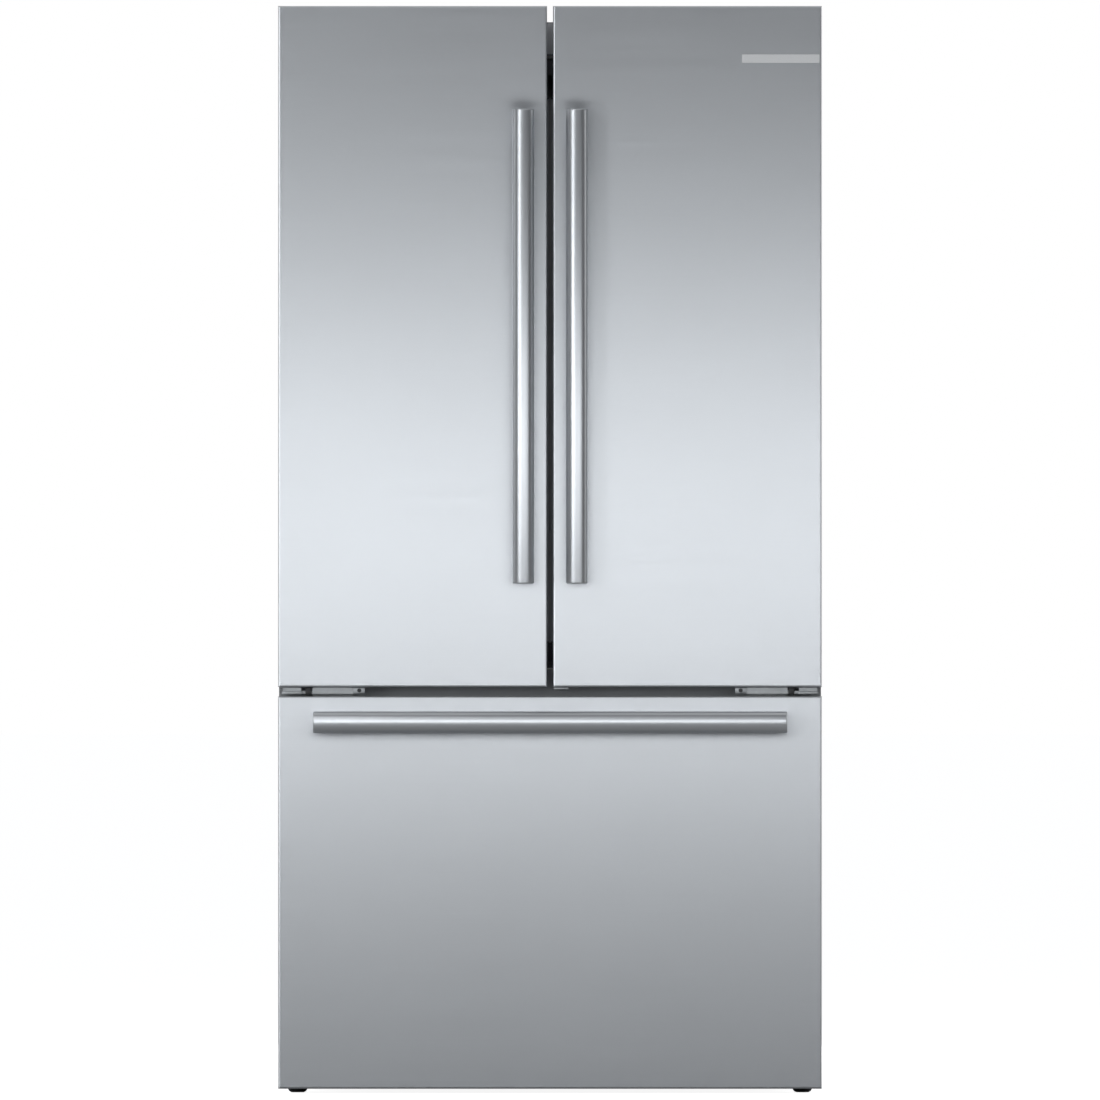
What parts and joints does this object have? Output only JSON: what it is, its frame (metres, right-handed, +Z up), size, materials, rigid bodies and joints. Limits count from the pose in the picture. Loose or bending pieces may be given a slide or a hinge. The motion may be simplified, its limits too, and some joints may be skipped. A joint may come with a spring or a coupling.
{
  "type": "french door refrigerator",
  "caption": "Free-standing refrigerator with side-hinged french doors over a pull-out freezer drawer, bar handles, inner shelves and bins.",
  "frame": {"origin": "on the floor under the middle of the object", "axes": "+Z up, the doors face -Y, +X to the right seen from the front"},
  "size_m": [0.905, 0.79, 1.8105],
  "materials": {
    "brushed_steel": "vertical brushed satin",
    "handle_steel": "fine brushed satin",
    "painted_grey": "textured paint",
    "zinc_plate": "zinc plated",
    "foam": "rigid foam",
    "white_liner": "vacuum formed",
    "gasket_rubber": "soft matt",
    "dark_plastic": "moulded",
    "clear_plastic": "clear moulded",
    "shelf_glass": "tempered glass",
    "badge_metal": "polished",
    "compressor_black": "gloss black",
    "fin_aluminium": "bare fins"
  },
  "bodies": {
    "cabinet": {"cabinet_foam": "foam", "fridge_liner": "white_liner", "freezer_liner": "white_liner", "left_side_panel": "painted_grey", "right_side_panel": "painted_grey", "top_panel": "painted_grey", "rear_panel": "zinc_plate", "divider_rail": "painted_grey", "base_frame": "painted_grey", "machine_cover": "dark_plastic", "drain_pan": "dark_plastic", "compressor": "compressor_black", "condenser": "compressor_black", "cord_gland": "dark_plastic", "air_duct": "white_liner", "light_housing": "clear_plastic", "evaporator_cover": "white_liner", "evaporator": "fin_aluminium", "left_upper_shelf": "shelf_glass", "right_upper_shelf": "shelf_glass", "wide_lower_shelf": "shelf_glass", "crisper_cover": "shelf_glass", "left_top_hinge": "zinc_plate", "right_top_hinge": "zinc_plate", "left_hinge_cover": "dark_plastic", "right_hinge_cover": "dark_plastic", "left_centre_hinge": "zinc_plate", "right_centre_hinge": "zinc_plate", "left_fixed_rail": "zinc_plate", "right_fixed_rail": "zinc_plate"},
    "left_door": {"left_door_skin": "brushed_steel", "left_door_liner": "white_liner", "left_door_gasket": "gasket_rubber", "left_door_handle": "handle_steel", "left_door_upper_bin": "clear_plastic", "left_door_lower_bin": "clear_plastic"},
    "right_door": {"right_door_skin": "brushed_steel", "right_door_liner": "white_liner", "right_door_gasket": "gasket_rubber", "right_door_handle": "handle_steel", "right_door_lower_bin": "clear_plastic", "dairy_box": "clear_plastic", "badge_strip": "badge_metal"},
    "dairy_lid": {"dairy_lid": "clear_plastic"},
    "mullion": {"mullion": "dark_plastic"},
    "freezer_drawer": {"freezer_front_skin": "brushed_steel", "freezer_front_liner": "white_liner", "freezer_gasket": "gasket_rubber", "freezer_handle": "handle_steel", "drawer_frame": "zinc_plate", "freezer_basket": "white_liner"},
    "middle_rails": {"middle_rails": "zinc_plate"},
    "freezer_tray": {"freezer_tray": "clear_plastic"},
    "left_crisper": {"left_crisper": "clear_plastic"},
    "right_crisper": {"right_crisper": "clear_plastic"},
    "condenser_fan": {"condenser_fan": "dark_plastic"},
    "left_foot": {"left_foot": "dark_plastic"},
    "right_foot": {"right_foot": "dark_plastic"},
    "left_roller": {"left_roller": "dark_plastic"},
    "right_roller": {"right_roller": "dark_plastic"}
  },
  "joints": [
    {"name": "left_door_swing", "type": "hinge", "parent": "cabinet", "child": "left_door", "pos_m": [-0.4225, -0.301, 1.24], "axis": [0, 0, -1], "range_deg": [0, 115]},
    {"name": "right_door_swing", "type": "hinge", "parent": "cabinet", "child": "right_door", "pos_m": [0.4225, -0.301, 1.24], "axis": [0, 0, 1], "range_deg": [0, 115]},
    {"name": "mullion_flip", "type": "hinge", "parent": "left_door", "child": "mullion", "pos_m": [-0.03, -0.2375, 1.22], "axis": [0, 0, -1], "range_deg": [0, 90]},
    {"name": "dairy_lid_lift", "type": "hinge", "parent": "right_door", "child": "dairy_lid", "pos_m": [0.225, -0.2495, 1.5578], "axis": [1, 0, 0], "range_deg": [0, 90]},
    {"name": "freezer_drawer_slide", "type": "slide", "parent": "cabinet", "child": "freezer_drawer", "axis": [0, -1, 0], "range_m": [0, 0.45]},
    {"name": "middle_rails_slide", "type": "slide", "parent": "cabinet", "child": "middle_rails", "axis": [0, -1, 0], "range_m": [0, 0.225]},
    {"name": "freezer_tray_slide", "type": "slide", "parent": "freezer_drawer", "child": "freezer_tray", "axis": [0, 1, 0], "range_m": [0, 0.2]},
    {"name": "left_crisper_slide", "type": "slide", "parent": "cabinet", "child": "left_crisper", "axis": [0, -1, 0], "range_m": [0, 0.09]},
    {"name": "right_crisper_slide", "type": "slide", "parent": "cabinet", "child": "right_crisper", "axis": [0, -1, 0], "range_m": [0, 0.09]},
    {"name": "condenser_fan_spin", "type": "hinge", "parent": "cabinet", "child": "condenser_fan", "pos_m": [0.02, 0.25, 0.15], "axis": [1, 0, 0], "continuous": true},
    {"name": "left_foot_turn", "type": "hinge", "parent": "cabinet", "child": "left_foot", "pos_m": [-0.421, -0.205, 0], "axis": [0, 0, 1], "continuous": true},
    {"name": "right_foot_turn", "type": "hinge", "parent": "cabinet", "child": "right_foot", "pos_m": [0.421, -0.205, 0], "axis": [0, 0, 1], "continuous": true},
    {"name": "left_roller_spin", "type": "hinge", "parent": "cabinet", "child": "left_roller", "pos_m": [-0.385, 0.325, 0.022], "axis": [1, 0, 0], "continuous": true},
    {"name": "right_roller_spin", "type": "hinge", "parent": "cabinet", "child": "right_roller", "pos_m": [0.385, 0.325, 0.022], "axis": [1, 0, 0], "continuous": true}
  ],
  "couplings": [
    {"joint": "middle_rails_slide", "follows": "freezer_drawer_slide", "ratio": 0.5}
  ]
}
